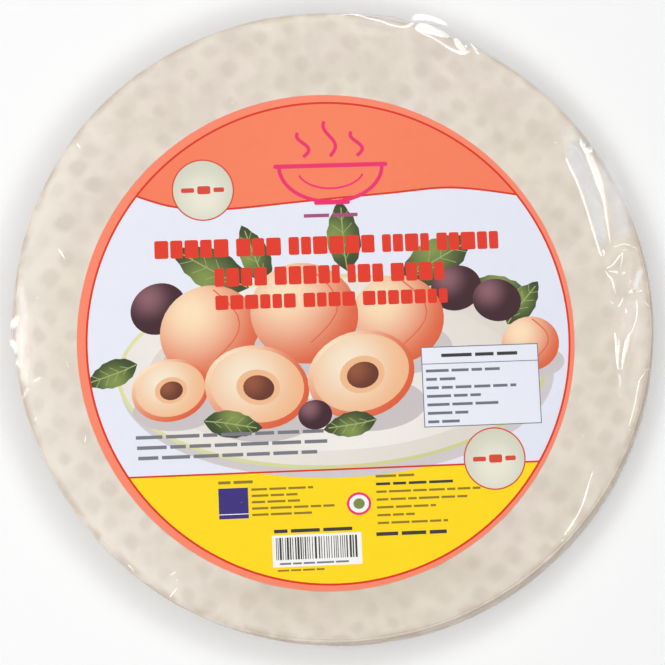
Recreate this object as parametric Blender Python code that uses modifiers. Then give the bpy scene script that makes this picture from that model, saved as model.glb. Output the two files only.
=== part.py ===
"""A round stack of rice paper wrappers, sealed in clear film, with a round printed card lying on it.

The sealed pack is one solid with the film's outer form: a flat foot, a wall that leans with the
stack, a rim with ears of film, and pockets where the film stands off the sheets. The card lies in a
shallow seat on top. Units are metres, +Z is up, and the origin is under the middle of the pack.
"""

import math

import bpy
from mathutils import Vector

# The sheets
SHEET_DIAMETER = 0.280
SHEET_COUNT = 25
SHEET_PITCH = 0.00063
SHEET_STRAY = 0.0007
STACK_LEAN = 0.0045
LEAN_HEADING = math.radians(-33)

# The film round them
FILM_GAP = 0.0008
TOP_SLACK = 0.00025
RIM_SLOPE_WIDTH = 0.012
RIM_DROP = 0.0010
RIM_CORNER = 0.0026
FOOT_CORNER = 0.0022
CORNER_STEPS = 4
FOOT_STEPS = 3
WALL_LEVELS = (0.62, 0.46, 0.30)
TOP_RINGS = (0.042, 0.027, 0.0235, 0.020, 0.017, 0.014, 0.011, 0.008, 0.0053)
OVAL_SWELL = 0.0008
OVAL_HEADING = -15
STEPS_ROUND = 200

# Where the rim is out of round beside its oval: heading and half width in degrees, and reach
BULGES = (
    (5, 14, 0.0004),
    (50, 16, 0.0004),
    (142, 30, 0.0007),
    (241, 17, 0.0011),
    (312, 24, -0.0005),
)

# The card
CARD_RADIUS = 0.1100
CARD_THICKNESS = 0.0003
CARD_PLACE = (-0.0035, -0.0083)
CARD_SIDES = 128
CARD_GAP = 0.0003

# Worked out from these
PACK_HEIGHT = SHEET_COUNT * SHEET_PITCH + TOP_SLACK
RIM_RADIUS = SHEET_DIAMETER / 2 + SHEET_STRAY + FILM_GAP
SEAT_DEPTH = CARD_THICKNESS + CARD_GAP

# Ears of film on the rim: heading, half width in degrees, reach, and height as a share of the pack's
EARS = (
    (79.5, 2.6, 0.0013, 0.62),
    (69.5, 5.6, 0.0038, 0.62),
    (182.0, 2.6, 0.0022, 0.55),
)
EAR_THICKNESS = 0.0042

# Pockets of loose film: a rise, and a convex outline in millimetres from the top sheet's middle
POCKET_SLOPE = 0.42
POCKETS = (
    (0.0014, ((-1, 140), (10, 136), (20, 133), (29, 133.5), (34, 136), (29, 140), (17, 141))),
    (0.0020, ((35, 135), (42, 130), (58, 121.5), (63, 122), (54, 132), (47.5, 137), (40, 138))),
    (0.0021, ((98, 82), (104, 74), (120, 29), (124, 35), (122, 57), (115, 79), (112, 84))),
    (0.0014, ((119, 25), (125, 13), (133, 13), (136.5, 27), (134, 36), (124, 37))),
    (0.0015, ((124, -14), (125.5, -28), (129, -22), (135, -2), (134.5, 9), (129, 10))),
    (0.0012, ((128.5, -49), (131, -48), (139, -22), (137, -21), (132, -34))),
    (0.0012, ((98.5, -96), (101, -95), (114, -69), (111, -69), (106, -80))),
    (0.0011, ((-140, -22), (-134, -31), (-130, -26), (-133, 1), (-140, 3))),
)


def clear_scene():
    for old in list(bpy.data.objects):
        bpy.data.objects.remove(old)


def finish(name, colour, roughness):
    """A Principled material with one colour."""
    material = bpy.data.materials.new(name)
    material.use_nodes = True
    shader = material.node_tree.nodes["Principled BSDF"]
    shader.inputs["Base Color"].default_value = (*colour, 1)
    shader.inputs["Roughness"].default_value = roughness
    material.diffuse_color = (*colour, 1)
    return material


def top_height(inset):
    """Height of the pack's top at a distance in from the rim, where the sheets are pressed down."""
    share = max(0, 1 - inset / RIM_SLOPE_WIDTH)
    return PACK_HEIGHT - RIM_DROP * share**2


def arc(centre_x, centre_z, radius, from_degrees, to_degrees, steps):
    """Points of an arc, both ends included."""
    points = []
    for i in range(steps + 1):
        angle = math.radians(from_degrees + (to_degrees - from_degrees) * i / steps)
        points.append((centre_x + radius * math.cos(angle), centre_z + radius * math.sin(angle)))
    return points


def pack_profile():
    """Half of the pack's section, from the middle of its top down the wall to the middle of its foot."""
    top = [(0, PACK_HEIGHT)] + [(RIM_RADIUS - inset, top_height(inset)) for inset in TOP_RINGS]
    shoulder = arc(
        RIM_RADIUS - RIM_CORNER, top_height(RIM_CORNER) - RIM_CORNER, RIM_CORNER, 78, 0, CORNER_STEPS
    )
    wall = [(RIM_RADIUS, level * PACK_HEIGHT) for level in WALL_LEVELS]
    foot = arc(RIM_RADIUS - FOOT_CORNER, FOOT_CORNER, FOOT_CORNER, 0, -90, FOOT_STEPS)
    return top + shoulder + wall + foot + [(0, 0)]


def lean_at(height):
    """How far the sheets at a height are shifted in plan against the top sheet."""
    shift = STACK_LEAN * (1 - height / PACK_HEIGHT)
    return Vector((math.cos(LEAN_HEADING), math.sin(LEAN_HEADING), 0)) * shift


def bell(heading, middle, half_width):
    """A bell curve over headings in degrees, 1 at its middle."""
    turn = (heading - middle + 180) % 360 - 180
    return math.exp(-((turn / half_width) ** 2))


def out_of_round(heading):
    """How far the rim stands out of round at a heading in degrees."""
    reach = OVAL_SWELL * math.cos(2 * math.radians(heading - OVAL_HEADING))
    for middle, half_width, length in BULGES:
        reach += length * bell(heading, middle, half_width)
    return reach


def ear_reach(heading, height):
    """How far the ears of film stick out at a heading in degrees and a height."""
    reach = 0
    for middle, half_width, length, level in EARS:
        upright = math.exp(-(((height - level * PACK_HEIGHT) / EAR_THICKNESS) ** 2))
        reach = max(reach, length * bell(heading, middle, half_width) * upright)
    return reach


def depth_inside(x, y, outline):
    """How deep a point lies inside a convex anticlockwise outline, negative outside it."""
    deepest = math.inf
    for (ax, ay), (bx, by) in zip(outline, outline[1:] + outline[:1]):
        across = (bx - ax) * (y - ay) - (by - ay) * (x - ax)
        deepest = min(deepest, across / math.hypot(bx - ax, by - ay))
    return deepest


def pocket_lift(x, y):
    """How far the loose film stands off the sheets over a point of the plan."""
    lift = 0
    for rise, outline in POCKETS:
        depth = depth_inside(x * 1000, y * 1000, outline) / 1000
        lift = max(lift, min(rise, POCKET_SLOPE * depth))
    return lift


def shaped(point, outward):
    """A point of the turned pack moved to where the film runs round the leaning stack."""
    radius = math.hypot(point.x, point.y)
    if radius == 0:
        return point + lean_at(point.z)
    heading = math.degrees(math.atan2(point.y, point.x))
    reach = (out_of_round(heading) + ear_reach(heading, point.z)) * (radius / RIM_RADIUS) ** 4
    moved = Vector((point.x, point.y, 0)) * (1 + reach / radius)
    moved.z = point.z
    if point.z > PACK_HEIGHT / 2:
        moved += outward * pocket_lift(moved.x, moved.y)
    return moved + lean_at(point.z)


def turned(name, profile, steps):
    """A mesh object turned from a profile round the Z axis."""
    mesh = bpy.data.meshes.new(name + "_profile")
    corners = [(x, 0, z) for x, z in profile]
    mesh.from_pydata(corners, [(i, i + 1) for i in range(len(corners) - 1)], [])
    guide = bpy.data.objects.new(name + "_profile", mesh)
    bpy.context.scene.collection.objects.link(guide)
    screw = guide.modifiers.new("Turn", "SCREW")
    screw.axis = "Z"
    screw.steps = screw.render_steps = steps
    screw.use_merge_vertices = True
    screw.merge_threshold = 0.0001
    graph = bpy.context.evaluated_depsgraph_get()
    turned_mesh = bpy.data.meshes.new_from_object(guide.evaluated_get(graph))
    turned_mesh.name = name
    bpy.data.objects.remove(guide)
    return bpy.data.objects.new(name, turned_mesh)


def disc(name, radius, thickness, middle_z, collection):
    """A flat disc where the card lies."""
    bpy.ops.mesh.primitive_cylinder_add(
        vertices=CARD_SIDES, radius=radius, depth=thickness, location=(*CARD_PLACE, middle_z)
    )
    made = bpy.context.object
    made.name = made.data.name = name
    for holder in list(made.users_collection):
        holder.objects.unlink(made)
    collection.objects.link(made)
    return made


def make_pack(collection):
    """The sealed pack, before the card's seat is cut."""
    pack = turned("sealed_pack", pack_profile(), STEPS_ROUND)
    collection.objects.link(pack)
    outward = [vertex.normal.copy() for vertex in pack.data.vertices]
    for vertex, normal in zip(pack.data.vertices, outward):
        vertex.co = shaped(vertex.co, normal)
    pack.data.materials.append(finish("rice_sheets_in_film", (0.74, 0.68, 0.60), 0.35))
    pack.data.shade_smooth()
    pack.data.set_sharp_from_angle(angle=math.radians(50))
    return pack


def cut_card_seat(pack, cutters):
    """Cuts the shallow seat that the card lies in, and gives back its cutter."""
    seat = disc("card_seat", CARD_RADIUS + CARD_GAP, 2 * SEAT_DEPTH, PACK_HEIGHT, cutters)
    seat.hide_render = True
    seat.display_type = "WIRE"
    cut = pack.modifiers.new("Card seat", "BOOLEAN")
    cut.operation = "DIFFERENCE"
    cut.solver = "EXACT"
    cut.object = seat
    return seat


def make_card(collection):
    """The printed card, with its face level with the film round it."""
    card = disc(
        "printed_card", CARD_RADIUS, CARD_THICKNESS, PACK_HEIGHT - CARD_THICKNESS / 2, collection
    )
    card.data.materials.append(finish("coral_print", (0.95, 0.25, 0.15), 0.4))
    return card


def centre_over_origin(pack, others):
    """Moves the pack and what goes with it in plan, until the pack's box is centred on the origin."""
    for axis in (0, 1):
        values = [vertex.co[axis] for vertex in pack.data.vertices]
        middle = (min(values) + max(values)) / 2
        for thing in (pack, *others):
            thing.location[axis] -= middle


def main():
    clear_scene()
    model = bpy.data.collections.new("Rice paper wrapper stack")
    cutters = bpy.data.collections.new("Cutters")
    for collection in (model, cutters):
        bpy.context.scene.collection.children.link(collection)
    pack = make_pack(model)
    seat = cut_card_seat(pack, cutters)
    card = make_card(model)
    centre_over_origin(pack, (seat, card))


main()
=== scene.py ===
import math
import random

import bpy
import numpy as np
from mathutils import Matrix, Vector, noise
from mathutils.geometry import delaunay_2d_cdt


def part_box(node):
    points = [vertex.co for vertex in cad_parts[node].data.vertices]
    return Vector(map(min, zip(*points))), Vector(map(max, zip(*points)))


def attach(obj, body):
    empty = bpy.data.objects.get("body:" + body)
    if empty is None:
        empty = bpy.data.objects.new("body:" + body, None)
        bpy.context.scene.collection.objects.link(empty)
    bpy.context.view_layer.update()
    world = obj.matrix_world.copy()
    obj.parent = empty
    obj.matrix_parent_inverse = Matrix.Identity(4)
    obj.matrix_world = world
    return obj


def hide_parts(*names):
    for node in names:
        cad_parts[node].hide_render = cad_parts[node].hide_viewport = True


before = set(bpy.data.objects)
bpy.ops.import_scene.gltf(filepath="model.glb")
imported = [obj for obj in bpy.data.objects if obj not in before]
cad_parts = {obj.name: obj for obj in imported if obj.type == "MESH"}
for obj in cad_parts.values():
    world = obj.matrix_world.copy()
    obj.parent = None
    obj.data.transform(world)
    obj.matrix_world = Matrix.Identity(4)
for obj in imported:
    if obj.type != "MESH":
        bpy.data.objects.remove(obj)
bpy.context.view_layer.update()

# A round stack of rice paper wrappers under clear film, with a round printed card on top.
# Lengths are in metres, but the card's print and the film's folds are laid out in millimetres.

MM = 0.001

# The frame: the card's solid says where the pack's top is
CARD_LOW, CARD_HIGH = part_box("printed_card")
CARD_MIDDLE = (CARD_LOW + CARD_HIGH) / 2
CARD_RADIUS = (CARD_HIGH.x - CARD_LOW.x) / 2
CARD_PLACE = Vector((-3.5, -8.3, 0)) * MM
TOP_MIDDLE = Vector((CARD_MIDDLE.x, CARD_MIDDLE.y, 0)) - CARD_PLACE
PACK_HEIGHT = CARD_HIGH.z

# The sheets
SHEET_RADIUS = 140.7 * MM
TOP_SHEET_RADIUS = 139.6 * MM
SHEET_COUNT = 25
SHEET_THICKNESS = 0.42 * MM
SHEETS_TOP = PACK_HEIGHT - 0.38 * MM
SHEETS_FOOT = 0.45 * MM
SHEET_PITCH = (SHEETS_TOP - SHEETS_FOOT - SHEET_THICKNESS) / (SHEET_COUNT - 1)
SHEET_STRAY = 0.55 * MM
SHEET_RELIEF = 0.13 * MM
LEAN = Vector((math.cos(math.radians(-33)), math.sin(math.radians(-33)), 0)) * 4.5 * MM
RIM_DROP = 1.0 * MM
RIM_SLOPE_WIDTH = 12 * MM
SPOT_SPACING = 11.1 * MM
SPOT_TURN = math.radians(39)
# Way from the top sheet's middle towards the painted shadow just below the card
CARD_SHADOW_WAY = (0.14, -0.99, 0)
# Way from the top sheet's middle towards the painted sheen at the left rim
SHEEN_WAY = (-0.98, -0.21, 0)
PINK_CREAM = (229, 217, 205)
YELLOW_CREAM = (228, 219, 203)
CLOUD_CREAM = (217, 206, 192)
# Colour of the painted sheen at the top sheet's left rim
SHEEN_CREAM = (247, 240, 231)
# Colour of the card's painted shadow on the top sheet, just below the card
CARD_SHADOW_CREAM = (198, 186, 163)
SPOT_CREAM = (200, 188, 173)
# Colour of the painted shade at the sheets' rims
RIM_SHADE_CREAM = (203, 186, 168)

# The film
RIM_RADIUS = 141.5 * MM
RIM_CORNER = 2.6 * MM
FOOT_CORNER = 2.2 * MM
OVAL_SWELL = 0.8 * MM
OVAL_HEADING = math.radians(-15)
BULGES = ((5, 14, 0.4), (50, 16, 0.4), (142, 30, 0.7), (241, 17, 1.1), (312, 24, -0.5))
FILM_OVER_SHEETS = -0.16 * MM
FILM_OVER_CARD = 0.06 * MM
FILM_STEP_WIDTH = 1.8 * MM
FILM_STEPS_ROUND = 640
FILM_RING_STEP = 1.25 * MM
FOOT_RING_STEP = 2.5 * MM
FILM_WAVE = 0.05 * MM
FILM_RIPPLE = 0.02 * MM
FILM_TUCK = 0.3 * MM
FOOT_GAP = 0.02 * MM
FOOT_FLAT_RADIUS = 60 * MM
FOOT_PLEAT = 0.2 * MM
FOOT_RIPPLE = 0.06 * MM
STRIP_GAP = 0.02 * MM
EARS = ((79.5, 2.6, 1.3, 0.62), (69.5, 5.6, 3.8, 0.62), (182.0, 2.6, 2.2, 0.55))
EAR_THICKNESS = 4.2 * MM

# The card, and the table under the pack
CARD_BOARD = 0.24 * MM
CARD_DROP = 0.08 * MM
CARD_WAVE = 0.035 * MM
TABLE_GAP = 0.2 * MM

# The camera, as fitted to the photo's outlines
CAMERA_DISTANCE = 0.8
CAMERA_TILT_X = math.radians(-4.0)
CAMERA_TILT_Y = math.radians(-6.3)
IMAGE_SIDE = 665
FOCAL_PIXELS = 1793
TARGET_PIXEL = (334.7, 322.7)
TO_CAMERA = Vector((math.sin(CAMERA_TILT_X), math.sin(CAMERA_TILT_Y), 0))
TO_CAMERA.z = math.sqrt(1 - TO_CAMERA.length_squared)
EYE_PLACE = TO_CAMERA * CAMERA_DISTANCE

# Softboxes stand in a ring, and are brightest towards one side
SOFTBOX_COUNT = 12
SOFTBOX_SLANT = math.radians(44)
SOFTBOX_SIDE = 0.44
SOFTBOX_WIDTH = 0.52
SOFTBOX_DISTANCE = 1.3
SOFTBOX_WATTS = 1.9
BRIGHT_SIDE = math.radians(172)
BRIGHT_SHARE = 0.2


def srgb(red, green, blue):
    """A screen colour, given from 0 to 255, as linear values."""
    values = []
    for level in (red, green, blue):
        share = level / 255
        values.append(share / 12.92 if share <= 0.04045 else ((share + 0.055) / 1.055) ** 2.4)
    return (*values, 1)


def clamp(value):
    return min(1.0, max(0.0, value))


def smooth(value):
    value = clamp(value)
    return value * value * (3 - 2 * value)


def bell(heading, middle, half_width):
    """A bell curve over headings, 1 at its middle, with the middle and half width in degrees."""
    turn = (np.degrees(heading) - middle + 180) % 360 - 180
    return np.exp(-((turn / half_width) ** 2))


def out_of_round(heading):
    """How far the pack's rim stands out of round at a heading, or at an array of them."""
    reach = OVAL_SWELL * np.cos(2 * (heading - OVAL_HEADING))
    for middle, half_width, length in BULGES:
        reach = reach + length * MM * bell(heading, middle, half_width)
    return reach


class Nodes:
    """Puts nodes into a tree and joins them up."""

    def __init__(self, tree):
        self.tree = tree

    def feed(self, socket, value):
        if isinstance(value, bpy.types.NodeSocket):
            self.tree.links.new(value, socket)
        else:
            socket.default_value = value

    def add(self, kind, feeds=None, **settings):
        made = self.tree.nodes.new(kind)
        for name, value in settings.items():
            setattr(made, name, value)
        for key, value in (feeds or {}).items():
            self.feed(made.inputs[key], value)
        return made

    def maths(self, operation, *values):
        return self.add("ShaderNodeMath", dict(enumerate(values)), operation=operation).outputs[0]

    def vectors(self, operation, *values):
        made = self.add("ShaderNodeVectorMath", dict(enumerate(values)), operation=operation)
        return made.outputs["Value" if operation in ("LENGTH", "DOT_PRODUCT") else "Vector"]

    def scaled(self, vector, factor):
        made = self.add("ShaderNodeVectorMath", {0: vector, "Scale": factor}, operation="SCALE")
        return made.outputs["Vector"]

    def combined(self, x, y, z):
        return self.add("ShaderNodeCombineXYZ", {0: x, 1: y, 2: z}).outputs[0]

    def mapped(self, value, low, high, to_low=0.0, to_high=1.0, kind="SMOOTHSTEP"):
        feeds = {0: value, 1: low, 2: high, 3: to_low, 4: to_high}
        return self.add("ShaderNodeMapRange", feeds, interpolation_type=kind).outputs["Result"]

    def split(self, vector):
        return self.add("ShaderNodeSeparateXYZ", {0: vector}).outputs

    def noise(self, vector, scale, detail, **feeds):
        """Soft noise from 0 to 1, with a fourth coordinate where W is given."""
        feeds.update({"Vector": vector, "Scale": scale, "Detail": detail})
        kind = "4D" if "W" in feeds else "3D"
        return self.add("ShaderNodeTexNoise", feeds, noise_dimensions=kind).outputs["Fac"]

    def attribute(self, name):
        return self.add("ShaderNodeAttribute", attribute_name=name).outputs["Fac"]

    def blended(self, factor, first, second):
        made = self.add("ShaderNodeMix", data_type="RGBA")
        self.feed(made.inputs[0], factor)
        self.feed(made.inputs[6], first)
        self.feed(made.inputs[7], second)
        return made.outputs[2]


def new_tree(name, kind, inputs, outputs):
    """An empty node tree with these named inputs and outputs."""
    tree = bpy.data.node_groups.new(name, kind)
    for label, sort in outputs:
        tree.interface.new_socket(label, in_out="OUTPUT", socket_type="NodeSocket" + sort)
    for label, sort, start in inputs:
        socket = tree.interface.new_socket(label, in_out="INPUT", socket_type="NodeSocket" + sort)
        if start is not None:
            socket.default_value = start
    return tree


# Sheets

SHEET_INPUTS = (
    ("Count", "Int", 1),
    ("First Height", "Float", 0.0),
    ("Pitch", "Float", SHEET_PITCH),
    ("Radius", "Float", SHEET_RADIUS),
    ("Thickness", "Float", SHEET_THICKNESS),
    ("Segments", "Int", 240),
    ("Rings", "Int", 3),
    ("Ring Spread", "Float", 0.45),
    ("Pack Height", "Float", PACK_HEIGHT),
    ("Rim Drop", "Float", RIM_DROP),
    ("Rim Slope Width", "Float", RIM_SLOPE_WIDTH),
    ("Lean", "Vector", LEAN),
    ("Stray", "Float", SHEET_STRAY),
    ("Ripple", "Float", 0.1 * MM),
    ("Relief", "Float", 0.0),
    ("Spot Spacing", "Float", SPOT_SPACING),
    ("Spot Turn", "Float", SPOT_TURN),
    ("Seed", "Int", 7),
    ("Material", "Material", None),
)


def one_flat_sheet(n, given):
    """A round sheet with its rings packed towards the edge."""
    feeds = {
        "Vertices": given["Segments"],
        "Fill Segments": given["Rings"],
        "Radius": 1.0,
        "Depth": given["Thickness"],
    }
    blank = n.add("GeometryNodeMeshCylinder", feeds, fill_type="TRIANGLE_FAN")
    spot = n.split(n.add("GeometryNodeInputPosition").outputs[0])
    flat = n.combined(spot[0], spot[1], 0.0)
    spread = n.maths("POWER", n.vectors("LENGTH", flat), given["Ring Spread"])
    reach = n.scaled(n.vectors("NORMALIZE", flat), n.maths("MULTIPLY", spread, given["Radius"]))
    place = n.vectors("ADD", reach, n.combined(0.0, 0.0, spot[2]))
    moved = n.add("GeometryNodeSetPosition", {"Geometry": blank.outputs["Mesh"], "Position": place})
    return moved.outputs[0]


def piled(n, given, sheet):
    """The sheets one above the other, each turned at random and numbered."""
    start = n.maths("ADD", given["First Height"], n.maths("MULTIPLY", given["Thickness"], 0.5))
    feeds = {
        "Count": given["Count"],
        "Start Location": n.combined(0.0, 0.0, start),
        "Offset": n.combined(0.0, 0.0, given["Pitch"]),
    }
    line = n.add("GeometryNodeMeshLine", feeds)
    index = n.add("GeometryNodeInputIndex").outputs[0]
    feeds = {"Geometry": line.outputs[0], "Name": "sheet", "Value": index}
    numbered = n.add("GeometryNodeStoreNamedAttribute", feeds)
    feeds = {2: 0.0, 3: math.tau, "ID": index, "Seed": given["Seed"]}
    turn = n.add("FunctionNodeRandomValue", feeds).outputs[1]
    euler = n.add("FunctionNodeEulerToRotation", {0: n.combined(0.0, 0.0, turn)})
    feeds = {"Points": numbered.outputs[0], "Instance": sheet, "Rotation": euler.outputs[0]}
    pile = n.add("GeometryNodeInstanceOnPoints", feeds)
    return n.add("GeometryNodeRealizeInstances", {0: pile.outputs[0]}).outputs[0]


def mat_spots(n, given, plan, turn):
    """How strongly a place was pressed by the drying mat: soft squarish spots on a loose lattice."""
    drift = n.add("ShaderNodeTexNoise", {"Vector": plan, "Scale": 38.0, "Detail": 1.0})
    drift = n.scaled(n.vectors("SUBTRACT", drift.outputs["Color"], (0.5, 0.5, 0.5)), 7.0 * MM)
    lattice = n.add("ShaderNodeVectorRotate", {"Vector": n.vectors("ADD", plan, drift), "Angle": turn})
    feeds = {
        "Vector": lattice.outputs[0],
        "Scale": n.maths("DIVIDE", 1.0, given["Spot Spacing"]),
        "Randomness": 0.3,
        "Exponent": 2.8,
    }
    cells = n.add("ShaderNodeTexVoronoi", feeds, voronoi_dimensions="2D", distance="MINKOWSKI")
    lot = n.split(cells.outputs["Color"])
    strength = n.mapped(lot[0], 0.0, 1.0, 0.3, 1.0, "LINEAR")
    edge = n.mapped(lot[1], 0.0, 1.0, 0.33, 0.43, "LINEAR")
    inside = n.maths("SUBTRACT", 1.0, n.maths("DIVIDE", cells.outputs["Distance"], edge))
    return n.maths("MULTIPLY", n.mapped(inside, 0.0, 0.5), strength)


def sheet_tree():
    """A pile of dried rice sheets with uneven edges, the rim pressed down and the mat's relief."""
    tree = new_tree("Dried sheets", "GeometryNodeTree", SHEET_INPUTS, (("Geometry", "Geometry"),))
    n = Nodes(tree)
    given = n.add("NodeGroupInput").outputs
    pile = piled(n, given, one_flat_sheet(n, given))

    place = n.split(n.add("GeometryNodeInputPosition").outputs[0])
    plan = n.combined(place[0], place[1], 0.0)
    radius = n.vectors("LENGTH", plan)
    level = n.maths("DIVIDE", place[2], given["Pack Height"])
    sheet = n.add("GeometryNodeInputNamedAttribute", {"Name": "sheet"}).outputs[0]
    out_share = n.maths("DIVIDE", radius, given["Radius"])

    inset = n.maths("SUBTRACT", given["Radius"], radius)
    pressed = n.maths("SUBTRACT", 1.0, n.maths("DIVIDE", inset, given["Rim Slope Width"]))
    pressed = n.maths("POWER", n.maths("MAXIMUM", pressed, 0.0), 2.0)
    drop = n.maths("MULTIPLY", n.maths("MULTIPLY", pressed, level), given["Rim Drop"])

    wave = n.noise(plan, 17.0, 2.0, W=n.maths("MULTIPLY", sheet, 3.7))
    wave = n.maths("MULTIPLY", n.maths("SUBTRACT", wave, 0.5), n.maths("MULTIPLY", given["Ripple"], 4.0))
    wave = n.maths("MULTIPLY", wave, out_share)
    spots = mat_spots(n, given, plan, given["Spot Turn"])
    aside = n.vectors("ADD", plan, n.combined(37 * MM, 22 * MM, 0.0))
    below = mat_spots(n, given, aside, n.maths("ADD", given["Spot Turn"], 0.6))
    marks = n.maths("ADD", spots, n.maths("MULTIPLY", below, 0.3))
    dimple = n.maths("MULTIPLY", spots, given["Relief"])
    rise = n.maths("SUBTRACT", n.maths("SUBTRACT", wave, drop), dimple)

    fray = n.noise(plan, 26.0, 3.0, W=n.maths("MULTIPLY", sheet, 5.3))
    fray = n.maths("MULTIPLY", n.maths("SUBTRACT", fray, 0.5), n.maths("MULTIPLY", given["Stray"], 2.4))
    fray = n.maths("MULTIPLY", fray, n.maths("POWER", out_share, 8.0))
    outward = n.scaled(n.vectors("NORMALIZE", plan), fray)
    high = n.combined(given["Stray"], given["Stray"], 0.0)
    feeds = {0: n.scaled(high, -1.0), 1: high, "ID": sheet, "Seed": given["Seed"]}
    slip = n.add("FunctionNodeRandomValue", feeds, data_type="FLOAT_VECTOR").outputs[0]
    lean = n.scaled(given["Lean"], n.maths("SUBTRACT", 1.0, level))

    shift = n.vectors("ADD", n.vectors("ADD", outward, slip), lean)
    shift = n.vectors("ADD", shift, n.combined(0.0, 0.0, rise))
    feeds = {"Geometry": pile, "Name": "spot", "Value": marks}
    marked = n.add("GeometryNodeStoreNamedAttribute", feeds).outputs[0]
    # Painted shade at each sheet's rim: 1 at the very edge, gone 2.2 mm in, kept for the material
    edge = n.mapped(inset, 0.1 * MM, 2.2 * MM, 1.0, 0.0)
    feeds = {"Geometry": marked, "Name": "rim", "Value": edge}
    marked = n.add("GeometryNodeStoreNamedAttribute", feeds).outputs[0]
    moved = n.add("GeometryNodeSetPosition", {"Geometry": marked, "Offset": shift})
    centred = n.add("GeometryNodeSetPosition", {"Geometry": moved.outputs[0], "Offset": TOP_MIDDLE})
    feeds = {"Geometry": centred.outputs[0], "Material": given["Material"]}
    finished = n.add("GeometryNodeSetMaterial", feeds)
    n.add("NodeGroupOutput", {0: finished.outputs[0]})
    return tree


def piece_from_tree(name, tree, settings):
    """A plain mesh object made by a geometry tree with these inputs."""
    maker = bpy.data.objects.new(name, bpy.data.meshes.new(name))
    bpy.context.scene.collection.objects.link(maker)
    modifier = maker.modifiers.new("Make", "NODES")
    modifier.node_group = tree
    names = {item.name: item.identifier for item in tree.interface.items_tree if item.in_out == "INPUT"}
    for label, value in settings.items():
        modifier[names[label]] = value
    graph = bpy.context.evaluated_depsgraph_get()
    mesh = bpy.data.meshes.new_from_object(maker.evaluated_get(graph))
    mesh.name = name
    bpy.data.objects.remove(maker)
    return linked(name, mesh)


def linked(name, mesh):
    piece = bpy.data.objects.new(name, mesh)
    bpy.context.scene.collection.objects.link(piece)
    return piece


def follow_rim(mesh):
    """Widens a pile of sheets to the pack's outline, which isn't quite round."""
    places = np.empty(len(mesh.vertices) * 3)
    mesh.vertices.foreach_get("co", places)
    places = places.reshape(-1, 3)
    plan = places[:, :2] - np.array(TOP_MIDDLE.xy) - np.outer(1 - places[:, 2] / PACK_HEIGHT, LEAN.xy)
    radius = np.maximum(np.hypot(plan[:, 0], plan[:, 1]), MM)
    reach = out_of_round(np.arctan2(plan[:, 1], plan[:, 0])) * (radius / SHEET_RADIUS) ** 4
    places[:, :2] += plan * (reach / radius)[:, None]
    mesh.vertices.foreach_set("co", places.ravel())


def make_sheets(tree, material):
    """The top sheet and the foot sheet in fine relief, and the plain ones between them."""
    fine = {"Segments": 540, "Rings": 58, "Relief": SHEET_RELIEF, "Material": material}
    over = {"First Height": SHEETS_TOP - SHEET_THICKNESS, "Radius": TOP_SHEET_RADIUS, "Stray": 0.3 * MM}
    under = {"First Height": SHEETS_FOOT, "Seed": 3}
    between = {"Count": SHEET_COUNT - 2, "First Height": SHEETS_FOOT + SHEET_PITCH, "Material": material}
    pieces = (
        piece_from_tree("top_sheet", tree, {**fine, **over}),
        piece_from_tree("foot_sheet", tree, {**fine, **under}),
        piece_from_tree("inner_sheets", tree, between),
    )
    for piece in pieces:
        follow_rim(piece.data)
        piece.data.shade_smooth()
        piece.data.set_sharp_from_angle(angle=math.radians(40))
    return pieces


# Film

# Pockets of loose film: a rise in millimetres, and a convex anticlockwise outline in millimetres
POCKET_SLOPE = 0.42
POCKETS = (
    (1.4, ((-1, 140), (10, 136), (20, 133), (29, 133.5), (34, 136), (29, 140), (17, 141))),
    (2.0, ((35, 135), (42, 130), (58, 121.5), (63, 122), (54, 132), (47.5, 137), (40, 138))),
    (2.1, ((98, 82), (104, 74), (120, 29), (124, 35), (122, 57), (115, 79), (112, 84))),
    (1.4, ((119, 25), (125, 13), (133, 13), (136.5, 27), (134, 36), (124, 37))),
    (1.5, ((124, -14), (125.5, -28), (129, -22), (135, -2), (134.5, 9), (129, 10))),
    (1.2, ((128.5, -49), (131, -48), (139, -22), (137, -21), (132, -34))),
    (1.2, ((98.5, -96), (101, -95), (114, -69), (111, -69), (106, -80))),
    (1.1, ((-140, -22), (-134, -31), (-130, -26), (-133, 1), (-140, 3))),
)


def depth_inside(x, y, outline):
    """How deep a point lies inside a convex anticlockwise outline, negative outside it."""
    deepest = math.inf
    for (ax, ay), (bx, by) in zip(outline, outline[1:] + outline[:1]):
        across = (bx - ax) * (y - ay) - (by - ay) * (x - ax)
        deepest = min(deepest, across / math.hypot(bx - ax, by - ay))
    return deepest


def pocket_lift(x, y):
    """How far the loose film stands off the sheets over a point of the plan."""
    lift = 0
    for rise, outline in POCKETS:
        depth = depth_inside(x / MM, y / MM, outline)
        if depth > 0:
            lift = max(lift, min(rise, POCKET_SLOPE * depth) * MM)
    return lift


def top_height(inset):
    """Height of the pack's top at a distance in from the rim, where the sheets are pressed down."""
    share = clamp(1 - inset / RIM_SLOPE_WIDTH)
    return PACK_HEIGHT - RIM_DROP * share**2


def film_waves(x, y):
    """Faint waves of the film over the sheets and the card."""
    wave = FILM_WAVE * noise.noise(Vector((x * 70, y * 70, 3)))
    return wave + FILM_RIPPLE * noise.noise(Vector((x * 230, y * 230, 9)))


def film_top(x, y):
    """Height of the film over a point of the plan, in from the rim's corner."""
    to_card = math.hypot(x - CARD_PLACE.x, y - CARD_PLACE.y) - CARD_RADIUS
    over_card = 1 - smooth(to_card / FILM_STEP_WIDTH)
    cover = FILM_OVER_SHEETS + (FILM_OVER_CARD - FILM_OVER_SHEETS) * over_card
    inset = max(RIM_RADIUS - math.hypot(x, y), RIM_CORNER)
    return top_height(inset) + cover + film_waves(x, y) + pocket_lift(x, y)


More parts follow.
